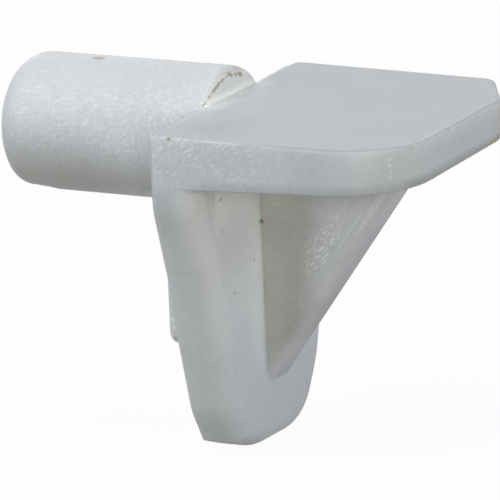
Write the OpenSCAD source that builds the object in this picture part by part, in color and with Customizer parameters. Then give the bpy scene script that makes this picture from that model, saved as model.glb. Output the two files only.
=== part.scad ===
// Shelf support pin: a plastic peg for a 5 mm hole, with a shelf rest, a back
// tongue and a gusset rib, moulded as one piece.
//
// Frame: the origin is on the peg's axis, in the plane of the cabinet wall.
// The peg points along -X into the wall, the rest reaches out along +X,
// +Y runs along the wall and +Z is up.

/* [Peg] */
// Diameter of the peg
peg_d = 5; // [4:0.1:6]
// How far the peg goes into the wall
peg_len = 8; // [5:0.1:12]
// Rounding at the tip of the peg
peg_tip_r = 1.15; // [0.2:0.05:1.4]
// How much its radius grows from the plane of the wall to its flat end
peg_flare = 0.04; // [0.02:0.01:0.2]
// Rounding of the rim of its flat end, where that stands above the rest
peg_rim_r = 0.2; // [0.1:0.02:0.6]
// How far the peg lies to one side of the centre line, as moulded
peg_offset = 0.5; // [-0.6:0.05:0.6]

/* [Rest] */
// Width of the rest at its back edge
rest_w = 11.5; // [10.5:0.1:16]
// Width of the rest at its free end
rest_end_w = 11.3; // [9:0.1:16]
// Reach of the rest, from its back edge to its free end
rest_len = 9.45; // [8:0.05:14]
// Thickness of the rest at its back edge
rest_t = 1.9; // [1.5:0.05:2.4]
// Thickness of the rest at its free end
rest_end_t = 1.56; // [1:0.02:2.4]
// Plan radius of its free corner on the -Y side
rest_near_r = 2.7; // [0.5:0.1:3.6]
// How far the cut of its free corner on the +Y side runs back along that side
rest_cut_len = 1.6; // [0.8:0.1:2.5]
// How far that cut runs along the free end
rest_cut_w = 2.8; // [1.5:0.1:3.5]
// Plan radius where the cut leaves the side
rest_cut_side_r = 0.8; // [0.1:0.1:0.8]
// Plan radius where the cut meets the free end
rest_cut_end_r = 1.5; // [0.2:0.1:2]
// Height of its top above the peg's axis
rest_rise = 1.45; // [0.9:0.05:2]

/* [Tongue] */
// Thickness of the tongue
tongue_t = 1.75; // [1.2:0.05:2.4]
// How far the tongue reaches below the top of the rest
tongue_drop = 12.45; // [12:0.05:15]
// Depth at which its sides leave the full width
tongue_start = 2.65; // [2:0.05:3]
// Depth of the bend, below which its sides fall more steeply
tongue_bend = 5.05; // [4:0.05:6]
// Width at that bend
tongue_bend_w = 9.9; // [9:0.05:10.4]
// Depth at which its sides turn in towards the bottom
tongue_turn = 10.3; // [9.5:0.05:10.7]
// Width at that turn, measured to the sharp corners
tongue_turn_w = 7.35; // [6.8:0.05:7.8]
// Radius of those two corners
tongue_turn_r = 4; // [1:0.1:4.2]
// Width of its bottom edge, measured to the sharp corners
tongue_end_w = 4.3; // [3:0.1:5]
// Radius of the two corners of the bottom edge
tongue_end_r = 2.7; // [1:0.1:2.8]
// Rounding of the front edge, all round
tongue_edge_r = 0.8; // [0.2:0.05:0.8]

/* [Rib] */
// Thickness of the gusset rib
rib_t = 1.9; // [1.2:0.02:3]
// How far the rib reaches under the rest, from the back edge
rib_reach = 7.85; // [5:0.05:8]
// Depth of its foot on the tongue, below the top of the rest
rib_drop = 10.2; // [7:0.05:10.4]
// Rounding of the two edges of its slope
rib_edge_r = 0.5; // [0.1:0.05:0.95]

/* [Wall pad] */
// Thickness of the pad that bears on the wall
pad_t = 0.48; // [0.4:0.02:1]
// Width of the pad
pad_w = 8.2; // [6:0.1:8.4]
// Depth of its top edge, below the top of the rest
pad_top = 2.2; // [0.6:0.1:3]
// Depth of its bottom edge, below the top of the rest
pad_drop = 8.05; // [6:0.05:9]
// Radius of its four corners
pad_corner_r = 0.5; // [0.1:0.05:1]
// Rounding of its edge on the wall side
pad_edge_r = 0.25; // [0.05:0.05:0.35]

/* [Hidden] */

plastic = [0.87, 0.88, 0.87];
// How deep one form is let into the next, so that they fuse
bite = 0.5;
// Larger than the part, for blocks that only cut
far = 30;
// How far the faces of the tongue stand back from those of the rest, where the
// two halves of the mould part
parting_step = 0.02;
// The least flat that is left between two rounded edges
least_flat = 0.02;
// Steps in which a rounding is drawn
arc_steps = 8;
peg_r = peg_d / 2;
// What each side of the rest loses in width for each mm of reach
side_draft = (rest_w - rest_end_w) / 2 / rest_len;

// Unit vector from p to q
function toward(p, q) = (q - p) / norm(q - p);

// v turned a quarter turn to the left
function left_of(v) = [-v[1], v[0]];

// v turned by an angle
function turned(v, angle) = v * cos(angle) + left_of(v) * sin(angle);

// Points on an arc
function arc(centre, r, from, to) = [
    for (k = [0:arc_steps])
        centre + turned([r, 0], from + (to - from) * k / arc_steps)
];

// An outline is an anticlockwise list of corners, each [across, up, radius].
function corner(outline, i) =
    let (c = outline[(i + len(outline)) % len(outline)]) [c[0], c[1]];

// The outline with all its sides moved inwards by d
function shrunk(outline, d) = [
    for (i = [0:len(outline) - 1])
        let (here = corner(outline, i))
        let (a = toward(corner(outline, i - 1), here))
        let (b = toward(here, corner(outline, i + 1)))
        let (moved = here + d * (left_of(a) + left_of(b)) / (1 + a * b))
        let (r = outline[i][2])
        [moved[0], moved[1], r == 0 ? 0 : r - d * sign(cross(a, b))]
];

// The points of the outline, with its corners drawn as arcs
function drawn(outline) = [
    for (i = [0:len(outline) - 1])
        let (here = corner(outline, i))
        let (a = toward(here, corner(outline, i - 1)))
        let (b = toward(here, corner(outline, i + 1)))
        let (r = outline[i][2])
        let (half = acos(a * b) / 2)
        let (centre = here + toward([0, 0], a + b) * r / sin(half))
        let (start = here + a * r / tan(half) - centre)
        let (turn = (180 - 2 * half) * sign(cross(b, a)))
        for (k = [0:r == 0 ? 0 : arc_steps])
            r == 0 ? here : centre + turned(start, turn * k / arc_steps)
];

// An outline that is the same on both sides, from its right half, bottom first
function mirrored(half) = concat(half, [
    for (i = [len(half) - 1:-1:0]) [-half[i][0], half[i][1], half[i][2]]
]);

// A slab that stands on its outline. Its sides lean in by draft and run into
// the top with a rounding.
module rounded_slab(outline, thickness, edge_r, draft = 0) {
    rounding = [
        for (p = arc([0, thickness - edge_r], edge_r, 0, 90)) [p[1], edge_r - p[0]]
    ];
    levels = concat([[0, 0]], rounding);
    rings = [
        for (level = levels)
            [for (p = drawn(shrunk(outline, level[1] + draft * level[0]))) [p[0], p[1], level[0]]]
    ];
    n = len(rings[0]);
    last = len(rings) - 1;
    under = [for (i = [0:n - 1]) i];
    over = [for (i = [n - 1:-1:0]) last * n + i];
    sides = [
        for (k = [0:last - 1], i = [0:n - 1])
            let (a = k * n + i)
            let (b = k * n + (i + 1) % n)
            each [[a, a + n, b + n], [a, b + n, b]]
    ];
    polyhedron([for (ring = rings) each ring], concat([under, over], sides));
}

// Stands a shape up: across becomes +Y, up becomes +Z, its height becomes +X.
module upright() rotate([90, 0, 90]) children();

// The peg, which lies along -X. From the wall on it flares, and its end is let
// into the tongue. Above the rest it is flush with the back edge, with a rounded rim.
module peg() {
    root_r = peg_r + peg_flare;
    depth = pad_t + 2 * bite;
    body = concat(
        [[0, -depth], [peg_r + peg_flare * depth / pad_t, -depth], [peg_r, 0]],
        arc([peg_r - peg_tip_r, peg_len - peg_tip_r], peg_tip_r, 0, 90),
        [[0, peg_len]]
    );
    waste = concat(
        [[0, -far], [far, -far], [far, peg_rim_r - pad_t]],
        arc([root_r - peg_rim_r, peg_rim_r - pad_t], peg_rim_r, 0, -90),
        [[0, -pad_t]]
    );
    difference() {
        rotate([0, -90, 0]) rotate_extrude($fn = 96) polygon(body);
        intersection() {
            rotate([0, -90, 0]) rotate_extrude($fn = 96) polygon(waste);
            translate([-far, -far, rest_rise]) cube(2 * far);
        }
    }
}

// The forms below are drawn from the middle of the rest's top back edge.

// The plate that carries the shelf
module rest() {
    cut_start = rest_len - rest_cut_len;
    plan = [
        [-rest_w / 2, 0, 0],
        [rest_w / 2, 0, 0],
        [rest_end_w / 2, rest_len, rest_near_r],
        [rest_cut_w - rest_end_w / 2, rest_len, rest_cut_end_r],
        [side_draft * cut_start - rest_w / 2, cut_start, rest_cut_side_r]
    ];
    side = [[0, -rest_t], [rest_len, -rest_end_t], [rest_len, 0], [0, 0]];
    intersection() {
        rotate(-90) linear_extrude(far, center = true) polygon(drawn(plan));
        rotate([90, 0, 0]) linear_extrude(far, center = true) polygon(side);
    }
}

// The plate that hangs down along the wall. Its upper end is let into the rest.
module tongue() {
    shoulder = rest_w / 2 - parting_step;
    outline = mirrored([
        [tongue_end_w / 2, -tongue_drop, tongue_end_r],
        [tongue_turn_w / 2, -tongue_turn, tongue_turn_r],
        [tongue_bend_w / 2, -tongue_bend, 0],
        [shoulder, -tongue_start, 0],
        [shoulder, -bite, 0]
    ]);
    translate([parting_step, 0, 0]) upright()
        rounded_slab(outline, tongue_t - parting_step, tongue_edge_r, side_draft);
}

// The gusset between the tongue and the rest
module rib() {
    thinning = (rest_t - rest_end_t) / rest_len;
    underside = rest_t - thinning * rib_reach;
    top = [rib_reach, -underside];
    foot = [tongue_t, -rib_drop];
    slope = toward(top, foot);
    r = min(rib_edge_r, (rib_t - least_flat) / 2);
    inward = -left_of(slope) * r;
    hull() {
        for (end = [top - slope * bite + inward, foot + slope * bite + inward])
            for (side = [-1, 1])
                translate([end[0], side * (rib_t / 2 - r), end[1]])
                    sphere(r, $fn = 32);
        translate([tongue_t - bite, -rib_t / 2, bite - rest_t])
            cube([bite / 2, rib_t, bite / 2]);
    }
}

// The low pad behind the tongue, whose face bears on the wall
module wall_pad() {
    outline = mirrored([
        [pad_w / 2, -pad_drop, pad_corner_r],
        [pad_w / 2, -pad_top, pad_corner_r]
    ]);
    translate([bite, 0, 0]) mirror([1, 0, 0]) upright()
        rounded_slab(outline, pad_t + bite, pad_edge_r);
}

module shelf_support() {
    color(plastic) union() {
        peg();
        translate([pad_t, -peg_offset, rest_rise]) {
            rest();
            tongue();
            rib();
            wall_pad();
        }
    }
}

shelf_support();
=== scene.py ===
# %% [markdown]
# # A shelf support pin
#
# The real object is a small peg that a cabinet maker pushes into a 5 mm hole, so that a
# shelf can lie on its flat rest. It is one piece of milky plastic, injection-moulded in one
# shot: a peg, a rest, a tongue that hangs down along the wall, a gusset rib under the rest,
# and a low pad behind the tongue. This lesson builds that piece in mesh code, gives it a
# milky plastic and lights it. Sizes are written in millimetres and turned into metres once,
# when the mesh is made.

import math

import bmesh
import bpy
import numpy as np
from mathutils import Matrix, Vector


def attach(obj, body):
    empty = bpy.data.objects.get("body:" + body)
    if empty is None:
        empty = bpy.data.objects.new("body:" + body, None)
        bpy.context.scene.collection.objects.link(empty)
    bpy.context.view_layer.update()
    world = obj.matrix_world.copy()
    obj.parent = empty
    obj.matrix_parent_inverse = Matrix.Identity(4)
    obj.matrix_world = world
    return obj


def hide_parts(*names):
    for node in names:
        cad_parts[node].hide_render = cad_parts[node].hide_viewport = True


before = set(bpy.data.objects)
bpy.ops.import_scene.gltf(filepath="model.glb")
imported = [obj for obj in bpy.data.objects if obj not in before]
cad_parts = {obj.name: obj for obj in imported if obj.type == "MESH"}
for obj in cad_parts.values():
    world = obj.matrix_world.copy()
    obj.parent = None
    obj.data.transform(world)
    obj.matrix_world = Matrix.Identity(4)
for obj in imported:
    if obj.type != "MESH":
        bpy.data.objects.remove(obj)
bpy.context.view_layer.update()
MM = 0.001


# %% [markdown]
# ## The camera
#
# The camera comes first, because it decides how much detail shows. It is a long lens from
# the near side, a little above the rest. Its place and its three axes are written out as
# numbers, which is simpler here than aiming it with a constraint, because the view is also
# turned by two degrees.

# %% Camera
camera_data = bpy.data.cameras.new("camera")
camera_data.lens = 688.536
camera_data.sensor_width = 36.0
camera_data.clip_start = 0.01
camera_data.clip_end = 10.0
camera = bpy.data.objects.new("camera", camera_data)
bpy.context.scene.collection.objects.link(camera)
camera_right = Vector((0.88890636, 0.45626898, -0.04079338))
camera_up = Vector((-0.08078886, 0.24380066, 0.96645455))
camera_back = Vector((0.45090868, -0.85579195, 0.25357741))
camera_place = Vector((0.154807, -0.291912, 0.082298))
turn = Matrix((camera_right, camera_up, camera_back)).transposed()
camera.matrix_world = Matrix.Translation(camera_place) @ turn.to_4x4()
bpy.context.scene.camera = camera
print("camera", round(camera_place.length, 3), "m away from the peg's root")

# %% [markdown]
# ## The sizes
#
# All the forms but the peg are drawn from one point of the moulding: the middle of the
# rest's top back edge. The peg is drawn from its own axis, in the plane of the wall. Named
# once here, a size can be changed without a search through the shapes.

# %% Sizes in millimetres
ORIGIN = np.array([0.48, -0.5, 1.45])
PEG_R_ROOT, PEG_R_TIP = 2.478, 2.455
PEG_LEN, PEG_TIP_R = 8.0, 1.15
REST_W, REST_LEN = 11.5, 9.5
REST_T, REST_END_T = 1.9, 1.585
TONGUE_T = 1.75
RIB_T, RIB_REACH, RIB_DROP = 1.9, 7.81, 10.13
PAD_T, PAD_W, PAD_TOP, PAD_DROP = 0.48, 8.2, 2.2, 8.05
print("rest", REST_LEN, "x", REST_W, "mm, peg", 2 * PEG_R_TIP, "mm")

# %% [markdown]
# ## Outlines and lofts
#
# A moulded form with soft edges can be made in two ways: a sharp solid with a bevel on its
# edges, or a stack of rings that already follow the softening. Rings are used here, because
# every rounding then has its own radius, even where two of them meet. An outline is a list
# of corners, each with a radius. The same outline, moved inwards step by step, gives the
# rings, and a loft joins them with quads.

# %% Outlines
LEAST_R = 0.004


def rounded(corners, inset=0.0, steps=10):
    """Points of an anticlockwise outline of [a, b, radius] corners, moved inwards."""
    points = []
    flat = np.array([c[:2] for c in corners], float)
    for i, (_, _, radius) in enumerate(corners):
        here = flat[i]
        into = here - flat[i - 1]
        out = flat[(i + 1) % len(flat)] - here
        into, out = into / np.linalg.norm(into), out / np.linalg.norm(out)
        left = np.array([-into[1] - out[1], into[0] + out[0]])
        here = here + inset * left / (1 + into @ out)
        bend = math.acos(max(-1.0, min(1.0, into @ out)))
        r = max(radius - inset, LEAST_R)
        start = here - into * r * math.tan(bend / 2)
        normal = np.array([-into[1], into[0]])
        centre = start + normal * r
        for k in range(steps + 1):
            angle = bend * k / steps
            points.append(centre + r * (math.sin(angle) * into - math.cos(angle) * normal))
    return np.array(points)


def edge_steps(radius, steps=6):
    """(depth, inset) pairs of a rounding, from the face that it starts on to the full side."""
    angles = [math.pi / 2 * k / steps for k in range(steps + 1)]
    return [(radius * (1 - math.cos(a)), radius * (1 - math.sin(a))) for a in angles]


print("depths of a 1 mm rounding:", [round(depth, 2) for depth, _ in edge_steps(1.0)])


# %% Lofts
def loft(name, rings):
    """A closed mesh object from rings of points, all of one length, in mm from ORIGIN."""
    count = len(rings[0])
    mesh = bpy.data.meshes.new(name)
    points = [tuple(p * MM) for ring in rings for p in np.asarray(ring) + ORIGIN]
    first, last = range(count), range((len(rings) - 1) * count, len(rings) * count)
    faces = [list(first)[::-1], list(last)]
    for k in range(len(rings) - 1):
        for i in range(count):
            a, b = k * count + i, k * count + (i + 1) % count
            faces.append([a, b, b + count, a + count])
    mesh.from_pydata(points, [], faces)
    made = bpy.data.objects.new(name, mesh)
    bpy.context.scene.collection.objects.link(made)
    grid = bmesh.new()
    grid.from_mesh(mesh)
    bmesh.ops.recalc_face_normals(grid, faces=grid.faces)
    volume = grid.calc_volume(signed=True) / MM ** 3
    grid.to_mesh(mesh)
    grid.free()
    print(name, len(mesh.polygons), "faces,", round(volume, 1), "mm3")
    return made


# %% [markdown]
# ## The rest
#
# The shelf lies on this plate. Its top is level, and its underside rises a little towards
# the free end. In plan the near free corner is round and the far one is cut off. The rings
# go up through the plate: the underside's soft edge, then the top's. The softening fades
# out towards the back, where the two halves of the mould meet and leave a sharp edge. It is
# widest round the near free corner, where the shelf slides on. A box with a bevel would be
# quicker, but it would soften every edge alike.

# %% Outline of the rest
CRISP = 0.1
BACK_SHARE = 0.3
NEAR_EXTRA = 1.4
END_DRAFT = 0.06
FAR_WEAR = 0.08
plan = [
    [0, -REST_W / 2, 0.05],
    [REST_LEN + 0.09, -5.68, 2.8],
    [REST_LEN, 2.95, 1.3],
    [7.95, 5.63, 0.8],
    [0, REST_W / 2, 0.25],
    [-0.13, 4.9, 0.9],
    [0, 2.5, 0.9],
]


def underside(x):
    """How deep the underside lies below the top, at a reach of x."""
    return REST_T - (REST_T - REST_END_T) / REST_LEN * x


def smooth(value, start, end):
    """A smooth step from 0 to 1, as the value goes from start to end."""
    t = np.clip((value - start) / (end - start), 0, 1)
    return t * t * (3 - 2 * t)


print("the rest is", round(underside(REST_LEN), 3), "mm thick at its free end")


# %% Rest
def rest_ring(depth, inset, lower):
    """One ring of the rest, with the softening of its lower or its upper edge."""
    full, moved = rounded(plan, 0.0, 16), rounded(plan, inset, 16)
    fade = BACK_SHARE + (1 - BACK_SHARE) * smooth(full[:, 0], 0.2, 1.0)
    if not lower:
        near_corner = smooth(full[:, 0], 4.0, 7.0) * smooth(full[:, 1], -4.2, -5.3)
        wide = fade * (1 + NEAR_EXTRA * near_corner)
        ring = full + (moved - full) * wide[:, None]
        return np.column_stack([ring, -depth * fade])
    ring = full + (moved - full) * fade[:, None]
    worn = FAR_WEAR * smooth(full[:, 1], 1.2, 2.8) * smooth(full[:, 0], 3.0, 8.0)
    height = depth * fade - underside(full[:, 0]) + worn
    ring[:, 0] -= END_DRAFT * np.clip(full[:, 0] / REST_LEN, 0, 1)
    return np.column_stack([ring, height])


rings = [rest_ring(depth, inset, True) for depth, inset in edge_steps(CRISP)]
rings += [rest_ring(depth, inset, False) for depth, inset in reversed(edge_steps(CRISP))]
rest = loft("rest", rings)

# %% [markdown]
# ## The tongue
#
# This plate hangs down along the wall and keeps the support from tipping. Its sides narrow
# in stages to a rounded bottom, whose near corner is sharp. The front edge is softly
# rounded all round, and the back edge is crisp, because it lies on the line where the mould
# parts. An outline that is only thickened would have the same edge in front and behind. So
# rings go from the back to the front, and the upper end is let into the rest.

# %% Tongue
HIDDEN = 0.005
SIDE_DRAFT = 0.008
BACK_EDGE_R, FRONT_EDGE_R = 0.05, 0.8
shoulder = REST_W / 2 - HIDDEN
tongue_outline = [
    [-1.2, -12.43, 3.0],
    [2.25, -12.45, 2.2],
    [3.55, -10.3, 4.0],
    [4.9, -5.05, 1.2],
    [shoulder, -2.65, 3.0],
    [shoulder, -0.5, 0.02],
    [-shoulder, -0.5, 0.02],
    [-shoulder, -2.65, 3.0],
    [-4.93, -5.15, 1.2],
    [-4.24, -8.0, 8.0],
    [-3.5, -10.62, 2.5],
    [-2.72, -11.88, 0.2],
]
rings = []
for depth, inset in edge_steps(BACK_EDGE_R):
    ring = rounded(tongue_outline, inset + SIDE_DRAFT * depth)
    rings.append(np.column_stack([np.full(len(ring), depth + HIDDEN), ring]))
for depth, inset in reversed(edge_steps(FRONT_EDGE_R, 14)):
    ring = rounded(tongue_outline, inset + SIDE_DRAFT * (TONGUE_T - depth))
    rings.append(np.column_stack([np.full(len(ring), TONGUE_T - depth), ring]))
tongue = loft("tongue", rings)

# %% [markdown]
# ## The rib
#
# The gusset carries the load from the rest down to the tongue. Seen from the side it is a
# triangle. A wedge with a bevel would be rounded on all its edges, also where it runs into
# the plates. So rings go across its thickness, and each is that triangle with its slope
# moved inwards, which rounds only the two long edges of the slope. Its inner corner lies
# hidden, where the rest and the tongue meet.

# %% Rib
LET_IN = 0.8
RIB_EDGE_R = 0.48
INNER_X, INNER_Z = 1.0, -1.0
slope_top = np.array([RIB_REACH, -underside(RIB_REACH)])
slope_foot = np.array([TONGUE_T, -RIB_DROP])
down = (slope_foot - slope_top) / np.linalg.norm(slope_foot - slope_top)
inward = np.array([down[1], -down[0]])
near_half = [(depth - RIB_T / 2, inset) for depth, inset in edge_steps(RIB_EDGE_R, 12)]
rings = []
for y, inset in near_half + [(-y, inset) for y, inset in reversed(near_half)]:
    upper = slope_top - down * LET_IN + inward * inset
    lower = slope_foot + down * LET_IN + inward * inset
    rings.append([(upper[0], y, upper[1]), (INNER_X, y, INNER_Z), (lower[0], y, lower[1])])
rib = loft("rib", rings)

# %% [markdown]
# ## The wall pad
#
# Only this low pad bears on the wall, so that the fit doesn't depend on the flatness of the
# whole tongue. A plain box would show a hard line, so its rings go from inside the tongue
# out to the wall and end in a soft edge.

# %% Wall pad
PAD_LET_IN = 0.6
PAD_CORNER_R, PAD_EDGE_R = 0.5, 0.25
half_w = PAD_W / 2
pad_outline = [
    [half_w, -PAD_DROP, PAD_CORNER_R],
    [half_w, -PAD_TOP, PAD_CORNER_R],
    [-half_w, -PAD_TOP, PAD_CORNER_R],
    [-half_w, -PAD_DROP, PAD_CORNER_R],
]
ring = rounded(pad_outline)
rings = [np.column_stack([np.full(len(ring), PAD_LET_IN), ring])]
for depth, inset in reversed(edge_steps(PAD_EDGE_R)):
    ring = rounded(pad_outline, inset)
    rings.append(np.column_stack([np.full(len(ring), depth - PAD_T), ring]))
wall_pad = loft("wall_pad", rings)

# %% [markdown]
# ## The peg
#
# The peg is round, with a little draft, as every moulded pin has, and a rounded tip, in
# which the lower half of the mould has left two facets. Above the rest it ends in a flat
# face whose rim is rounded most at the top. A cylinder with a bevel has one radius all
# round, so the peg is a stack of rings about its axis. Below the rest it runs on into the
# tongue, so it is made as two bodies that share that axis.

# %% Tip of the peg
PARTS = 128
ANGLES = [2 * math.pi * k / PARTS for k in range(PARTS)]


def peg_radius(x):
    return PEG_R_TIP + (PEG_R_ROOT - PEG_R_TIP) * (x + PEG_LEN) / (PEG_LEN + ORIGIN[0])


def around(x, radius, highest=99.0):
    """One ring round the peg's axis, cut off level above a height."""
    return np.array([
        (x, radius * math.cos(a), min(radius * math.sin(a), highest)) for a in ANGLES
    ]) - ORIGIN


# The two facets: the depth from the tip, and how far the lowest point moves in there.
FACET_DEPTHS = (0.0, 0.12, 0.35, 0.55, 0.9, 1.3, 1.8)
FACET_INSETS = (0.0, -0.16, -0.15, -0.06, 0.07, 0.06, 0.0)
FACET_FADE = 1.3
centre = -ORIGIN
rings = []
for depth, inset in edge_steps(PEG_TIP_R, 14) + [(1.3, 0.0), (1.55, 0.0), (1.8, 0.0)]:
    ring = around(depth - PEG_LEN, peg_radius(depth - PEG_LEN) - inset)
    low = np.clip(-(ring[:, 2] - centre[2]) / PEG_R_TIP, 0, 1) ** FACET_FADE
    squeeze = 1 - low * np.interp(depth, FACET_DEPTHS, FACET_INSETS) / PEG_R_TIP
    ring[:, 1:] = centre[1:] + (ring[:, 1:] - centre[1:]) * squeeze[:, None]
    rings.append(ring)
print("rings of the tip:", len(rings))

# %% Flat end of the peg
RIM_STEPS = 8
RIM_R, RIM_TOP, RIM_NEAR = 0.04, 0.36, 0.1


def rim_radius(angle):
    """Rounding of the rim: most at the top of the flat end, and least at its far foot."""
    degrees = math.degrees(angle)
    top = RIM_TOP * math.exp(-((degrees - 85) / 25) ** 2)
    return RIM_R + top + RIM_NEAR * max(0.0, min(1.0, (degrees - 100) / 30))


for k in range(RIM_STEPS + 1):
    turned = math.pi / 2 * k / RIM_STEPS
    ring = []
    for a in ANGLES:
        x = ORIGIN[0] - rim_radius(a) * (1 - math.sin(turned))
        radius = PEG_R_ROOT - rim_radius(a) * (1 - math.cos(turned))
        ring.append((x, radius * math.cos(a), radius * math.sin(a)))
    rings.append(np.array(ring) - ORIGIN)
peg = loft("peg", rings)

# %% Root of the peg, inside the tongue
UNDER_TOP = ORIGIN[2] - 0.12
peg_root = loft("peg_root", [
    around(-1.0, 2.3, UNDER_TOP),
    around(-0.8, PEG_R_ROOT - HIDDEN - 0.01, UNDER_TOP),
    around(1.3, PEG_R_ROOT - HIDDEN, UNDER_TOP),
])

# %% [markdown]
# ## One moulding
#
# Plastic that lets light through has to be one closed skin, because a wall left inside it
# would stop the light. A boolean union joins the forms. After it, weighted normals keep the
# flat faces flat and let only the narrow roundings turn the light.

# %% Union
forms = (tongue, rib, wall_pad, peg, peg_root)
for form in forms:
    join = rest.modifiers.new("join", "BOOLEAN")
    join.operation = "UNION"
    join.solver = "EXACT"
    join.object = form
bpy.context.view_layer.update()
joined = rest.evaluated_get(bpy.context.evaluated_depsgraph_get())
skin = bpy.data.meshes.new_from_object(joined)
for form in forms + (rest,):
    bpy.data.objects.remove(form)
moulding = bpy.data.objects.new("shelf_support_moulding", skin)
bpy.context.scene.collection.objects.link(moulding)
print("forms joined:", len(forms) + 1)

# %% Smooth faces, sharp corners
CORNER = math.radians(32)
MERGE = 0.002 * MM
grid = bmesh.new()
grid.from_mesh(skin)
bmesh.ops.remove_doubles(grid, verts=grid.verts, dist=MERGE)
bmesh.ops.dissolve_degenerate(grid, edges=grid.edges, dist=MERGE)
for face in grid.faces:
    face.smooth = True
for edge in grid.edges:
    edge.smooth = len(edge.link_faces) == 2 and edge.calc_face_angle(0.0) < CORNER
open_edges = sum(1 for edge in grid.edges if len(edge.link_faces) != 2)
print("one skin:", len(grid.faces), "faces, open edges", open_edges,
      "volume", round(grid.calc_volume() / MM ** 3, 1), "mm3")
grid.to_mesh(skin)
grid.free()
weighted = moulding.modifiers.new("flat_faces", "WEIGHTED_NORMAL")
weighted.keep_sharp = True
weighted.weight = 90

# %% [markdown]
# ## Milky plastic
#
# The plastic lets a little light in and scatters it, so its shadows are soft and thin
# places glow. Subsurface scattering does that. A texture painted on the mesh could carry
# the grain and the marks, but a node tree that works from the place of each point needs no
# image file and stays sharp at any size. The helpers below make one node each, so that the
# tree reads like a sum.

# %% Node helpers
plastic = bpy.data.materials.new("milky_plastic")
plastic.use_nodes = True
nodes, links = plastic.node_tree.nodes, plastic.node_tree.links


def put(kind, inputs, **settings):
    """A node whose inputs, by place or by name, are sockets to link or values to write."""
    node = nodes.new(kind)
    for key, value in settings.items():
        setattr(node, key, value)
    for key, value in inputs.items():
        if isinstance(value, bpy.types.NodeSocket):
            links.new(value, node.inputs[key])
        else:
            node.inputs[key].default_value = value
    return node


def calc(operation, *values):
    """One step of arithmetic on plain numbers."""
    return put("ShaderNodeMath", dict(enumerate(values)), operation=operation).outputs[0]


def vector(operation, *values):
    """One step of arithmetic on vectors. A length or a dot product is a plain number."""
    made = put("ShaderNodeVectorMath", dict(enumerate(values)), operation=operation)
    return made.outputs["Value" if operation in ("LENGTH", "DOT_PRODUCT") else "Vector"]


print("nodes at the start:", [node.name for node in nodes])


# %% Masks, noise and tints
def ramp(value, start, end, low=0.0, high=1.0):
    """A smooth step from low to high, as the value goes from start to end."""
    if start > end:
        start, end, low, high = end, start, high, low
    made = put("ShaderNodeMapRange", {0: value, 1: start, 2: end, 3: low, 4: high},
               interpolation_type="SMOOTHSTEP")
    return made.outputs[0]


def both(*masks):
    """The product of masks and shares, which is 0 where any of them is 0."""
    out = masks[0]
    for mask in masks[1:]:
        out = calc("MULTIPLY", out, mask)
    return out


def noise(place, scale, detail=2.0, rough=0.5):
    """Cloudy noise round 0.5, with so many clouds to the millimetre."""
    made = put("ShaderNodeTexNoise",
               {"Vector": place, "Scale": scale, "Detail": detail, "Roughness": rough})
    return made.outputs["Fac"]


def tinted(colour, mask, tint):
    """The colour, multiplied by a tint where the mask is 1."""
    made = put("ShaderNodeMix", {0: mask, 6: colour, 7: (*tint, 1.0)},
               data_type="RGBA", blend_type="MULTIPLY")
    return made.outputs[2]


# %% [markdown]
# ## Places on the piece
#
# Every finish below depends on where a point lies. Unwrapping the piece would need seams
# across it, so places are measured instead, in millimetres from the middle of the rest's
# top back edge, as the shapes are. More measures follow the forms: the distance from the
# peg's axis and the angle round it, the depth behind the rib's slope, the height above the
# rest's underside, and how near the peg a point is. Masks made of smooth steps then pick
# out each face. A mask is 1 on its face and 0 elsewhere.

# %% Place of a point
object_place = nodes.new("ShaderNodeTexCoord").outputs["Object"]
place = vector("SUBTRACT", vector("MULTIPLY", object_place, (1 / MM,) * 3), tuple(ORIGIN))
px, py, pz = put("ShaderNodeSeparateXYZ", {0: place}).outputs
axis_y, axis_z = -ORIGIN[1], -ORIGIN[2]
from_axis_y, from_axis_z = calc("SUBTRACT", py, axis_y), calc("SUBTRACT", pz, axis_z)
from_axis = calc("SQRT", calc("ADD", calc("MULTIPLY", from_axis_y, from_axis_y),
                              calc("MULTIPLY", from_axis_z, from_axis_z)))
round_axis = calc("MULTIPLY", calc("ARCTAN2", from_axis_z, from_axis_y), 180 / math.pi)
off_middle = calc("ABSOLUTE", from_axis_y)
from_top = vector("SUBTRACT", place, (slope_top[0], 0.0, slope_top[1]))
from_slope = vector("DOT_PRODUCT", from_top, (inward[0], 0.0, inward[1]))
slant = (REST_END_T - REST_T) / REST_LEN
above_bottom = calc("ADD", pz, calc("MULTIPLY_ADD", px, slant, REST_T))
near_peg = vector("DIVIDE", vector("SUBTRACT", place, (0.4, -1.9, 0.0)), (2.2, 2.6, 1.0))
near_peg = vector("LENGTH", near_peg)
print("nodes for the place:", len(nodes))

# %% Masks of the faces
on_peg = ramp(px, 0.03, -0.12)
above_rest = both(ramp(px, 0.1, 0.05), ramp(pz, -0.02, 0.03))
on_flat_end = both(ramp(px, -0.14, -0.06), above_rest)
on_top = both(ramp(pz, -0.02, -0.005), ramp(px, -0.2, 0.0), ramp(pz, 0.1, 0.02))
on_near_side = both(ramp(py, -5.45, -5.6), ramp(px, 0.0, 0.05), ramp(pz, -1.9, -1.75))
low_side = both(ramp(px, 1.2, 2.5), ramp(above_bottom, 0.5, 0.1),
                ramp(above_bottom, -0.05, 0.0))
under_rest = ramp(pz, -1.95, -2.1)
on_rib = both(ramp(px, 1.77, 1.85), under_rest)
on_rib_side = both(on_rib, ramp(py, -1.1, -1.0), ramp(py, -0.8, -0.9))
on_front = both(ramp(px, 0.9, 1.7), ramp(px, 1.8, 1.77), under_rest)
on_tongue_side = both(ramp(px, 0.0, 0.05), ramp(px, 1.1, 0.5))
print("nodes with the masks:", len(nodes))

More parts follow.
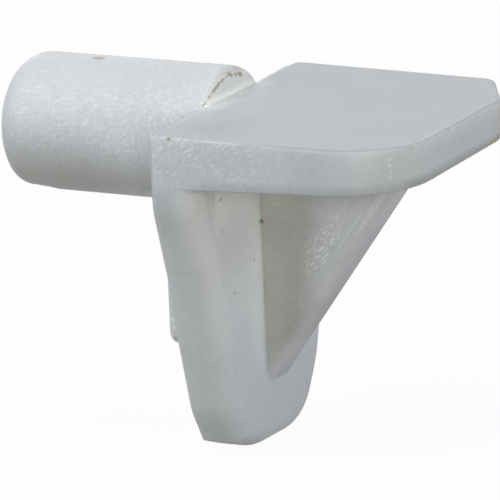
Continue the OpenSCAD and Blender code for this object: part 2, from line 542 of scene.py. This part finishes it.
# %% [markdown]
# ## Grain
#
# The mould was cut by sparks, which leaves a fine sparkling grain. It is strongest on the
# peg and on the near side of the rest, and faint on the top, which was polished. The grain
# is a fine noise that drives the bump. Its glints are painted highlights: where it peaks on
# the peg, and in short slanted strokes on the upright faces, the colour is painted lighter
# and the roughness is lower. The upright faces slid out of the mould, so their strokes are
# slanted. A stroke is the middle of a cell of a pattern that is drawn out along the slant,
# and only some cells get one.

# %% Grain
RIB_GRAIN, LEAST_GRAIN = 0.8, 0.45
grain = noise(place, 9.0, 3.0, 0.6)
peg_grain = both(on_peg, ramp(from_axis_z, 2.1, 1.1, 0.5, 1.0),
                 ramp(from_axis_z, -1.3, -0.3, 0.35, 1.0))
near_grain = both(on_near_side, ramp(px, 8.0, 2.0, 0.4, 1.0))
grain_amount = calc("MAXIMUM", peg_grain, near_grain)
grain_amount = calc("MAXIMUM", grain_amount, calc("MULTIPLY", on_rib_side, RIB_GRAIN))
grain_amount = calc("MAXIMUM", grain_amount, LEAST_GRAIN)
print("nodes with the grain:", len(nodes))

# %% Strokes
side_view = put("ShaderNodeCombineXYZ", {0: px, 1: pz}).outputs[0]


def strokes(angle, size, bare):
    """Slanted strokes of painted highlight on the upright faces: their angle in degrees, their
    cell size in mm and the number from 0 to 1 below which a cell stays bare."""
    turn = (0.0, 0.0, math.radians(angle))
    slanted = put("ShaderNodeMapping",
                  {"Vector": side_view, "Rotation": turn, "Scale": (*size, 1.0)},
                  vector_type="TEXTURE").outputs[0]
    wander = put("ShaderNodeTexNoise", {"Vector": place, "Scale": 1.6, "Detail": 1.0})
    bent = vector("MULTIPLY_ADD", wander.outputs["Color"], (1.0, 1.0, 0.0), slanted)
    cells = put("ShaderNodeTexVoronoi", {"Vector": bent, "Scale": 1.0},
                voronoi_dimensions="2D")
    own_number = put("ShaderNodeSeparateXYZ", {0: cells.outputs["Color"]}).outputs[0]
    return both(ramp(cells.outputs["Distance"], 0.48, 0.15),
                ramp(own_number, bare, bare + 0.6))


# %% Glints, painted as highlights
# The glints are painted highlights: a lighter colour, and a lower roughness in the shader.
NEAR_GLINT, PEG_GLINT, RIB_GLINT = 0.78, 0.37, 1.35
groups = ramp(noise(place, 1.3, 1.0, 0.5), 0.40, 0.56, 0.3, 1.0)
near_patch = both(on_near_side, groups, ramp(px, 6.0, 1.5, 0.1, 1.0), ramp(pz, -1.8, -1.0))
rib_patch = both(on_rib_side, ramp(px, 3.4, 3.6), ramp(px, 5.2, 3.9, 0.5, 1.0),
                 ramp(from_slope, 0.6, 0.75), ramp(from_slope, 1.9, 1.2),
                 ramp(pz, -6.1, -5.6), ramp(pz, -3.2, -4.7, 0.15, 0.8))
peg_painted_sparkle = both(ramp(noise(place, 8.8, 1.0, 0.5), 0.53, 0.68), on_peg, grain_amount)
painted_glint = calc("MULTIPLY", both(strokes(42, (0.38, 0.14), 0.05), near_patch), NEAR_GLINT)
painted_glint = calc("MULTIPLY_ADD", peg_painted_sparkle, PEG_GLINT, painted_glint)
painted_glint = calc("ADD", painted_glint, both(strokes(46, (0.36, 0.11), -0.2), rib_patch, RIB_GLINT))
print("nodes with the glints:", len(nodes))

# %% [markdown]
# ## How white each part is, with painted light and shade
#
# Thick places scatter more light back, so the peg, its flat end and the rest beside them are
# whiter than the thin plates. Most shares below are painted light and shade, though: a
# painted glow round the peg's foot and on its flat end, painted light where one part
# shades another, and painted shade on the top, the low edges, the rib's slope and the peg's
# underside. Painted patches would have edges, so each difference is a share that fades in
# with a smooth step along one of the measures above. A share of 0.1 makes a place a tenth
# whiter, and one below 0 makes it greyer.

# %% Painted light and shade on the peg and the rest
# Painted light and shade on the peg: lighter on top and greyer below, lighter low down near
# the root, where the rest's shadow falls, and a painted glow on the flat end.
peg_painted_shading = [
    both(on_peg, ramp(from_axis_z, -1.2, 1.0, -0.08, 0.15)),
    both(on_peg, ramp(from_axis_z, 1.6, 2.4, 0.0, 0.05)),
    both(on_peg, ramp(px, -5.2, -2.6), ramp(from_axis_z, 1.0, -0.3, 0.0, 0.26)),
    both(ramp(px, -0.06, -0.01), above_rest, ramp(pz, 0.4, -0.05, 0.21, 0.6)),
]
# Painted light and shade on the top: a painted glow round the foot of the flat end, where the
# peg shades the top, and the whole top a little greyer.
top_painted_shading = [
    both(on_top, ramp(near_peg, 1.0, 0.1, 0.0, 0.24)),
    both(on_top, ramp(px, 1.0, 0.0), ramp(off_middle, 2.9, 1.6, 0.0, 0.5)),
    both(on_top, ramp(px, 1.6, 0.4), ramp(off_middle, 1.5, 0.5, 0.0, 0.17)),
    calc("MULTIPLY", on_top, -0.16),
]
# Painted light and shade on the sides: the near side lighter near the peg and greyer further
# out, and the faces darker towards the underside, most at the free end, whose top is lighter.
side_painted_shading = [
    both(on_near_side, ramp(px, 2.2, 0.6), ramp(pz, -1.2, -0.6, 0.0, 0.06)),
    both(on_near_side, ramp(px, 4.5, 6.5), ramp(px, 9.0, 8.4, 0.0, -0.06)),
    calc("MULTIPLY", low_side, -0.19),
    both(low_side, ramp(px, 9.0, 9.4, 0.0, -0.22)),
    both(ramp(px, 9.3, 9.45), ramp(pz, -0.8, -0.3, 0.0, 0.05)),
]
print("shares:", len(peg_painted_shading), "peg,", len(top_painted_shading), "top,", len(side_painted_shading), "sides")

# %% Painted light and shade on the rib and the tongue
# Painted light and shade on the rib: its near side a little greyer towards the tongue, whose
# shadow falls there, but lighter just under the rest, and the slope darker.
rib_painted_shading = [
    both(on_rib_side, ramp(px, 5.0, 2.2, 0.0, -0.07)),
    both(on_rib_side, ramp(px, 3.4, 2.6, 0.15, 0.24), ramp(pz, -4.3, -3.1)),
    both(on_rib_side, ramp(px, 5.2, 6.2), ramp(pz, -4.2, -3.4, 0.0, 0.04)),
    both(on_rib, ramp(from_slope, 0.5, 0.1), ramp(py, -0.7, -0.3),
         ramp(pz, -3.0, -5.0, 0.0, -0.17)),
    both(on_rib, ramp(from_slope, 0.7, 0.2), ramp(pz, -6.5, -7.2),
         ramp(pz, -8.8, -8.2, 0.0, -0.10)),
]
# Painted light and shade on the tongue: its side greyer under the rest, and its front lighter,
# most high up, where the rest's shadow falls on it.
tongue_painted_shading = [
    both(on_tongue_side, ramp(pz, -1.7, -2.2), ramp(pz, -5.0, -3.0, 0.0, -0.12)),
    both(on_front, ramp(pz, -9.0, -6.0, 0.04, 0.13)),
    both(on_front, ramp(py, -2.6, -1.1), ramp(pz, -9.8, -8.6),
         ramp(pz, -2.8, -3.6, 0.0, 0.12)),
    both(on_front, ramp(px, 1.5, 1.72), ramp(pz, -4.3, -2.5), ramp(py, -4.9, -3.9),
         ramp(py, -1.2, -2.0, 0.17, 0.28)),
]
print("shares:", len(rib_painted_shading), "rib,", len(tongue_painted_shading), "tongue")

# %% Whiteness, with painted glints, light and shade
CLOUDS, MOTTLE, FINE, PAINTED_GLINT = 0.10, 0.07, 0.32, 0.29
tone_with_painted_light = 1.0
for pattern, amount in ((noise(place, 0.45), CLOUDS), (noise(place, 4.5), MOTTLE)):
    tone_with_painted_light = calc("MULTIPLY_ADD", calc("SUBTRACT", pattern, 0.5), amount, tone_with_painted_light)
tone_with_painted_light = calc("MULTIPLY_ADD", both(calc("SUBTRACT", grain, 0.5), grain_amount), FINE, tone_with_painted_light)
# Painted highlights: the glints make the colour lighter.
tone_with_painted_light = calc("MULTIPLY_ADD", painted_glint, PAINTED_GLINT, tone_with_painted_light)
# Painted light and shade: each share makes the colour lighter or greyer.
for share in peg_painted_shading + top_painted_shading + side_painted_shading + rib_painted_shading + tongue_painted_shading:
    tone_with_painted_light = calc("MULTIPLY_ADD", tone_with_painted_light, share, tone_with_painted_light)
BODY = (0.62, 0.64, 0.645, 1.0)
colour = put("ShaderNodeMix", {0: 1.0, 6: BODY, 7: tone_with_painted_light},
             data_type="RGBA", blend_type="MULTIPLY").outputs[2]
print("nodes with the whiteness:", len(nodes))

# %% [markdown]
# ## Marks of moulding and handling, and painted light
#
# A real pin isn't clean. A few specks are burnt into the plastic, and the thin edges are a
# little olive. Some marks in the list are painted light and shade instead: small dots of
# painted highlight where edges catch the light, a painted contact shadow where the pad
# meets the tongue, a tan line of painted shade in the corner of the rib and the tongue, and
# painted light, a little yellow, on the tongue's front under the rest. A scatter of random
# specks would be quicker, but it would put them where nothing touches the pin. Each mark is
# an ellipsoid at its own place on the piece: centre, half sizes, tint.

# %% Specks, stained edges and painted light
BROWN, DARK, OLIVE = (0.62, 0.52, 0.38), (0.72, 0.71, 0.68), (0.93, 0.95, 0.80)
PAINTED_HIGHLIGHT = (1.21, 1.21, 1.21)
MARKS = [
    ((-5.18, 0.37, 1.01), (0.32, 0.24, 0.15), BROWN),
    ((0.79, -5.74, -0.04), (0.12, 0.12, 0.09), BROWN),
    ((1.80, -0.95, -4.12), (0.12, 0.12, 0.12), (0.60, 0.48, 0.34)),
    # Painted light, a little yellow, on the tongue's front under the rest.
    ((1.75, -3.00, -2.40), (0.30, 2.20, 1.20), (1.02, 1.01, 0.95)),
    ((1.75, -4.46, -2.48), (0.11, 0.11, 0.09), DARK),
    ((1.75, -3.86, -2.61), (0.11, 0.13, 0.11), DARK),
    ((1.75, -3.88, -3.78), (0.09, 0.11, 0.09), DARK),
    ((1.75, -1.56, -5.36), (0.09, 0.10, 0.09), DARK),
    ((1.75, -3.10, -6.21), (0.09, 0.10, 0.09), DARK),
    ((9.55, -1.40, -0.06), (0.14, 0.12, 0.08), DARK),
    ((9.50, -4.10, -0.10), (0.30, 0.40, 0.14), (0.88, 0.85, 0.84)),
    ((9.45, 2.75, -1.32), (0.20, 0.14, 0.14), BROWN),
    ((9.42, 2.30, -1.50), (0.30, 0.80, 0.20), (0.96, 0.98, 0.42)),
    ((9.48, 2.80, -0.70), (0.20, 0.12, 1.00), (0.80, 0.80, 0.72)),
    ((8.30, 5.50, 0.00), (0.60, 0.35, 0.25), OLIVE),
    ((-0.05, -3.00, -0.05), (0.20, 0.60, 0.14), (0.86, 0.88, 0.70)),
    ((0.00, -5.75, -1.10), (0.12, 0.14, 1.60), (0.76, 0.70, 0.60)),
    # Painted shade: a tan line in the corner where the rib meets the tongue.
    ((1.80, -0.97, -5.60), (0.08, 0.08, 4.60), (0.96, 0.96, 0.80)),
    # Painted contact shadow where the pad meets the tongue.
    ((-0.15, -4.10, -7.93), (0.10, 0.10, 0.10), (0.70, 0.68, 0.50)),
    # Painted highlights: small dots where the edges catch the light.
    ((8.86, -4.73, -0.40), (0.09, 0.09, 0.08), PAINTED_HIGHLIGHT),
    ((8.88, -4.72, -0.62), (0.09, 0.09, 0.10), PAINTED_HIGHLIGHT),
    ((8.92, -4.68, -0.82), (0.09, 0.09, 0.07), PAINTED_HIGHLIGHT),
    ((8.88, -4.70, -1.02), (0.08, 0.08, 0.07), PAINTED_HIGHLIGHT),
    ((-0.28, -4.10, -7.10), (0.12, 0.12, 0.14), PAINTED_HIGHLIGHT),
    ((-0.19, -4.10, -7.36), (0.10, 0.10, 0.12), PAINTED_HIGHLIGHT),
]
for centre, half, tint in MARKS:
    reach = vector("LENGTH", vector("DIVIDE", vector("SUBTRACT", place, centre), half))
    colour = tinted(colour, ramp(reach, 1.0, 0.35), tint)
print("marks:", len(MARKS))

# %% [markdown]
# ## Flash on the flat end, the creases and painted light
#
# Flash is the thin skin that the plastic leaves where the mould parts, and here it has gone
# brown. It is a thin uneven arc on the flat end. It runs round the peg's axis, nearer to it
# at the top, because the rim is rounded more there. A grey crease follows the top edge of
# the rest further out, and near the peg that edge gets a pale painted highlight instead. Both
# lie only within the height of that edge's softening, which is enough to draw them without
# any measure along the outline. The top and the near side also get a cool tint, which is
# painted light in the colour of the light from above.

# %% Flash
FLASH_MIDDLE, FLASH_HALF = 80.0, 62.0
FLASH_R, FLASH_SPREAD = 2.17, 0.29
bow = calc("DIVIDE", calc("SUBTRACT", round_axis, FLASH_MIDDLE), FLASH_HALF)
flash_r = calc("MULTIPLY_ADD", calc("MULTIPLY", bow, bow), FLASH_SPREAD, FLASH_R)
off_flash = calc("ABSOLUTE", calc("SUBTRACT", from_axis, flash_r))
uneven = noise(place, 3.4, 1.0, 0.5)
thick = calc("MULTIPLY", ramp(uneven, 0.45, 0.62, 0.02, 0.10),
             ramp(round_axis, 136.0, 122.0, 0.35, 1.0))
flash = both(ramp(calc("SUBTRACT", off_flash, thick), 0.03, -0.03),
             ramp(uneven, 0.30, 0.48, 0.3, 1.0), on_flat_end,
             ramp(round_axis, 62.0, 66.0), ramp(round_axis, 146.0, 142.0))
colour = tinted(colour, flash, (0.58, 0.49, 0.34))
colour = tinted(colour, both(on_flat_end, ramp(pz, 0.35, 0.05)), (1.01, 1.01, 0.97))
colour = tinted(colour, on_flat_end, (1.0, 0.99, 0.95))
print("nodes with the flash:", len(nodes))

# %% Creases, a painted edge highlight and painted cool light
COOL_LIGHT = (0.985, 1.0, 1.02)
# Painted light: the top and the near side take the cool colour of the light from above.
cool_lit_faces = calc("MAXIMUM", on_near_side, both(on_top, ramp(near_peg, 0.6, 1.4)))
colour = tinted(colour, cool_lit_faces, COOL_LIGHT)
crease_and_highlight_band = both(ramp(pz, -0.001, -0.006), ramp(px, 0.3, 0.8))
grey_crease = both(crease_and_highlight_band, ramp(pz, -0.10, -0.04), ramp(px, 3.0, 4.0))
# Painted highlight along the top edge near the peg.
pale_edge_highlight = both(crease_and_highlight_band, ramp(pz, -0.12, -0.07), ramp(px, 4.0, 3.0))
colour = tinted(colour, grey_crease, (0.82, 0.80, 0.83))
colour = tinted(colour, pale_edge_highlight, (1.03, 1.03, 1.03))
print("nodes with the creases:", len(nodes))

# %% [markdown]
# ## Streaks and shades
#
# Two pale streaks run down the rib's near side, parallel to its slope, and the far edge of
# the slope is painted darker, as painted shade. Yellow tints are painted shade too: they give
# the shade beside the rib, under the rest and under the peg its warmer colour. The foot of the
# tongue gets a cool tint of painted light, and a grey band along the top of the peg is
# painted shade. Each of these is one mask and one tint, kept in a list, so that the order of
# the layers shows.

# %% Streaks and shades
TINTS = [
    # Painted shade: the far edge of the slope darker.
    (both(on_rib, ramp(from_slope, 0.5, 0.2), ramp(py, 0.3, 0.6)), (0.72, 0.72, 0.72)),
    (both(on_rib, ramp(from_slope, 1.1, 0.4)), (0.985, 0.98, 1.0)),
]
for depth, start, end in ((0.57, 4.5, 5.9), (0.30, 5.45, 6.0)):
    off_streak = calc("ABSOLUTE", calc("SUBTRACT", from_slope, depth))
    streak = both(on_rib, ramp(off_streak, 0.06, 0.02), ramp(py, -0.5, -0.7),
                  ramp(px, start, start + 0.2), ramp(px, end, end - 0.2))
    TINTS.append((streak, (1.12, 1.12, 1.12)))
peg_top_painted_shade = both(on_peg, ramp(from_axis_z, 1.8, 2.1), ramp(from_axis_y, 0.35, 0.6),
                 ramp(from_axis_y, 1.4, 1.1))
TINTS += [
    # Painted shade: warm yellow tints in the shade beside the rib, under the rest and under
    # the peg; painted cool light on the tongue's foot.
    (both(on_rib_side, ramp(px, 3.9, 3.2)), (1.0, 0.99, 0.92)),
    (both(on_rib, ramp(pz, -4.2, -2.6)), (1.0, 1.0, 0.96)),
    (both(on_front, ramp(pz, -6.5, -3.8)), (1.0, 1.0, 0.96)),
    (both(on_front, ramp(pz, -7.0, -9.5)), COOL_LIGHT),
    (both(on_peg, ramp(from_axis_z, -0.3, -1.6)), (1.0, 1.0, 0.93)),
    (peg_top_painted_shade, (0.84, 0.85, 0.86)),
]
for mask, tint in TINTS:
    colour = tinted(colour, mask, tint)
print("streaks and shades:", len(TINTS))

# %% [markdown]
# ## The shader
#
# Moulded plastic of this kind is half gloss: the grain scatters the mirror light, and only
# the painted glints are smoother. Much of the light enters and comes out again within a
# millimetre or so. A translucent shader would let it straight through, as through paper, so
# subsurface scattering is the better match. The bump is 0.02 mm deep, which is enough for a
# fine grain.

# %% Shader
ROUGH, GLINT_SMOOTHER = 0.45, -0.15
shader = nodes["Principled BSDF"]
links.new(colour, shader.inputs["Base Color"])
links.new(calc("MULTIPLY_ADD", painted_glint, GLINT_SMOOTHER, ROUGH), shader.inputs["Roughness"])
height = calc("MULTIPLY", grain, grain_amount)
bump = put("ShaderNodeBump", {"Strength": 0.6, "Distance": 0.02 * MM, "Height": height})
links.new(bump.outputs[0], shader.inputs["Normal"])
shader.inputs["Specular IOR Level"].default_value = 0.2
shader.inputs["Subsurface Weight"].default_value = 0.6
shader.inputs["Subsurface Radius"].default_value = (1.0, 1.0, 0.9)
shader.inputs["Subsurface Scale"].default_value = 0.8 * MM
skin.materials.clear()
skin.materials.append(plastic)
print("nodes in the plastic:", len(nodes))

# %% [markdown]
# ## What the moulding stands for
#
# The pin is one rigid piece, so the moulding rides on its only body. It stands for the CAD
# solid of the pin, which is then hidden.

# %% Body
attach(moulding, "root")
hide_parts("shelf_support")
print(moulding.name, "rides on root and stands for shelf_support")

# %% [markdown]
# ## Floor and backdrop
#
# The support stands a hair above a plain pale floor, which bounces light up on its
# underside and keeps its shadow. A plain white floor would throw too much light up. So the
# floor is grey to the light that it bounces, and white to the rays that look at it, which
# also hides the line where it meets the backdrop.

# %% Floor
FLOOR_Z = -0.011
HALF = 3.0
CORNERS = [(-HALF, -HALF, FLOOR_Z), (HALF, -HALF, FLOOR_Z),
           (HALF, HALF, FLOOR_Z), (-HALF, HALF, FLOOR_Z)]
floor_mesh = bpy.data.meshes.new("floor")
floor_mesh.from_pydata(CORNERS, [], [(0, 1, 2, 3)])
floor = bpy.data.objects.new("floor", floor_mesh)
bpy.context.scene.collection.objects.link(floor)
print("floor", 2 * HALF, "m across at", FLOOR_Z, "m")


# %% White to the rays that look
def seen_white(tree, amount):
    """Amount for the rays that see the backdrop, straight on, mirrored or through glass."""
    path = tree.nodes.new("ShaderNodeLightPath")
    total = path.outputs["Is Camera Ray"]
    for kind in ("Is Glossy Ray", "Is Transmission Ray"):
        most = tree.nodes.new("ShaderNodeMath")
        most.operation = "MAXIMUM"
        tree.links.new(total, most.inputs[0])
        tree.links.new(path.outputs[kind], most.inputs[1])
        total = most.outputs[0]
    scaled = tree.nodes.new("ShaderNodeMath")
    scaled.operation = "MULTIPLY"
    scaled.inputs[1].default_value = amount
    tree.links.new(total, scaled.inputs[0])
    return scaled.outputs[0]


# %% Pale floor
FLOOR_GREY, FLOOR_GLOW, GLOW_SHARE = 0.35, 1.12, 0.85
pale = bpy.data.materials.new("pale_floor")
pale.use_nodes = True
tree = pale.node_tree
tree.nodes.clear()
diffuse = tree.nodes.new("ShaderNodeBsdfDiffuse")
diffuse.inputs["Color"].default_value = (FLOOR_GREY, FLOOR_GREY, FLOOR_GREY, 1)
glow = tree.nodes.new("ShaderNodeEmission")
glow.inputs["Color"].default_value = (1, 1, 1, 1)
glow.inputs["Strength"].default_value = FLOOR_GLOW
mix = tree.nodes.new("ShaderNodeMixShader")
out = tree.nodes.new("ShaderNodeOutputMaterial")
tree.links.new(seen_white(tree, GLOW_SHARE), mix.inputs[0])
tree.links.new(diffuse.outputs[0], mix.inputs[1])
tree.links.new(glow.outputs[0], mix.inputs[2])
tree.links.new(mix.outputs[0], out.inputs["Surface"])
floor.data.materials.append(pale)
print("floor bounces", FLOOR_GREY, "of the light")

# %% [markdown]
# ## Light
#
# Small glossy things are shot between softboxes. Six round lamps stand around the support.
# Most of the light comes from the shoulder and from the right, one key lamp near the camera
# lights the near faces, and the world adds a faint fill. A single big lamp would be simpler,
# but it would leave the underside and the rib too dark. The power of each lamp was found by
# rendering it alone and then adding the lamps up.

# %% World
FILL = 0.04
world = bpy.data.worlds.new("studio")
world.use_nodes = True
bpy.context.scene.world = world
world_tree = world.node_tree
sky = world_tree.nodes["Background"]
sky.inputs["Color"].default_value = (1, 1, 1, 1)
sky.inputs["Strength"].default_value = FILL
backdrop = world_tree.nodes.new("ShaderNodeBackground")
backdrop.inputs["Color"].default_value = (1, 1, 1, 1)
backdrop.inputs["Strength"].default_value = 1.0
either = world_tree.nodes.new("ShaderNodeMixShader")
world_tree.links.new(seen_white(world_tree, 1.0), either.inputs[0])
world_tree.links.new(sky.outputs[0], either.inputs[1])
world_tree.links.new(backdrop.outputs[0], either.inputs[2])
world_tree.links.new(either.outputs[0], world_tree.nodes["World Output"].inputs["Surface"])
print("fill light:", FILL)


# %% Lamps
def softbox(name, place, size, power, colour):
    """A round lamp that looks at the moulding: its place and size in m, its power in W."""
    data = bpy.data.lights.new(name, "AREA")
    data.shape = "DISK"
    data.size = size
    data.energy = power
    data.color = colour
    lamp = bpy.data.objects.new(name, data)
    bpy.context.scene.collection.objects.link(lamp)
    lamp.location = place
    lamp.rotation_euler = (-Vector(place)).to_track_quat("-Z", "Y").to_euler()


LAMPS = [
    ("top", (0, 0, 0.35), 0.2, 0.33, (1.0, 1.0, 0.98)),
    ("shoulder", (-0.18, -0.18, 0.25), 0.12, 0.43, (0.94, 0.965, 1.09)),
    ("right", (0.35, 0, 0.10), 0.28, 0.38, (0.94, 0.975, 1.09)),
    ("right_near", (0.25, -0.25, 0.07), 0.20, 0.41, (1.05, 1.02, 0.925)),
    ("key", (-0.155, -0.29, 0.088), 0.07, 0.222, (0.98, 1.0, 1.015)),
    ("back", (-0.20, 0.28, 0.12), 0.2, 0.10, (1.0, 1.0, 1.0)),
]
for lamp in LAMPS:
    softbox(*lamp)
print("lamps:", len(LAMPS), "of", round(sum(power for _, _, _, power, _ in LAMPS), 2), "W")

# %% [markdown]
# ## The last step
#
# The plain view transform shows a colour about as it is written.

# %% Finish
bpy.context.scene.view_settings.view_transform = "Standard"
